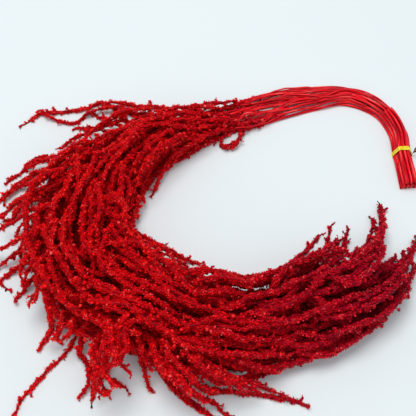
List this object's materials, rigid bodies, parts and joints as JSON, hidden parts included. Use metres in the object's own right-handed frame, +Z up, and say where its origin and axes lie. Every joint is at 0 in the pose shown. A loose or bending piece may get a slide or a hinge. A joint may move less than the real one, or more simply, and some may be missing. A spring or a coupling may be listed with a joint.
{
  "type": "amaranth seed head",
  "caption": "Tied bunch of hanging amaranth seed heads, dyed red: long stems in a yellow tie, knobbly tassels curling round like a C.",
  "frame": {"origin": "middle of the bounding box's bottom face, on the surface that the bunch lies on", "axes": "+Z up from that surface; +X along the bunch's longest extent, towards the cut ends and the open side of the C; +Y towards the arch of stems"},
  "size_m": [0.4702, 0.4096, 0.0601],
  "materials": {
    "dyed_seed_head": "matt, dyed and preserved plant",
    "yellow_tie": "satin"
  },
  "bodies": {
    "root": {"seed_head_01": "dyed_seed_head", "seed_head_02": "dyed_seed_head", "seed_head_03": "dyed_seed_head", "seed_head_04": "dyed_seed_head", "seed_head_05": "dyed_seed_head", "seed_head_06": "dyed_seed_head", "seed_head_07": "dyed_seed_head", "seed_head_08": "dyed_seed_head", "seed_head_09": "dyed_seed_head", "seed_head_10": "dyed_seed_head", "seed_head_11": "dyed_seed_head", "seed_head_12": "dyed_seed_head", "tie": "yellow_tie"}
  },
  "joints": []
}
